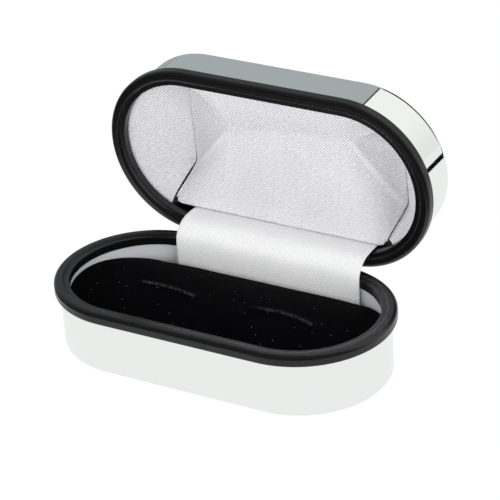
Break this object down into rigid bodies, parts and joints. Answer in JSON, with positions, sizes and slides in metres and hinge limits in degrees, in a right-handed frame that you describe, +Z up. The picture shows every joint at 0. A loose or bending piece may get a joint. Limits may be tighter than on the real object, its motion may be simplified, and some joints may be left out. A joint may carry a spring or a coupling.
{
  "type": "cufflink display box",
  "caption": "Round-ended hinged metal display box with plastic rims, a slit velvet pad in the base and a folded satin lining in the lid.",
  "frame": {"origin": "middle of the underside of the base", "axes": "+X to the right along the box, +Y towards the hinge, +Z up; the lid is drawn open"},
  "size_m": [0.088, 0.061, 0.0611],
  "materials": {
    "shell_metal": "mirror-plated pressed metal",
    "rim_plastic": "satin black moulded plastic",
    "liner_card": "smooth pale grey card",
    "board": "grey-brown board",
    "foam": "black foam",
    "velvet": "black flocked velvet",
    "satin": "white satin with a fine diagonal weave",
    "hinge_steel": "plated steel",
    "spring_steel": "tempered steel strip"
  },
  "bodies": {
    "base": {"base_shell": "shell_metal", "base_rim": "rim_plastic", "base_liner": "liner_card", "pad_board": "board", "pad_foam": "foam", "pad_velvet": "velvet", "base_hinge_leaf": "hinge_steel", "base_leaf_rivets": "hinge_steel", "hinge_pin": "hinge_steel", "snap_spring": "spring_steel", "hinge_ribbon": "satin"},
    "lid": {"lid_shell": "shell_metal", "lid_rim": "rim_plastic", "lid_hinge_leaf": "hinge_steel", "lid_leaf_rivets": "hinge_steel", "lid_pad_card": "board", "lid_pad_satin": "satin", "left_flap_card": "board", "left_flap_satin": "satin", "right_flap_card": "board", "right_flap_satin": "satin"}
  },
  "joints": [
    {"name": "lid_hinge", "type": "hinge", "parent": "base", "child": "lid", "pos_m": [0, 0.02265, 0.0158], "axis": [1, 0, 0], "range_deg": [0, 86.5], "deforming": ["snap_spring", "hinge_ribbon"]}
  ]
}
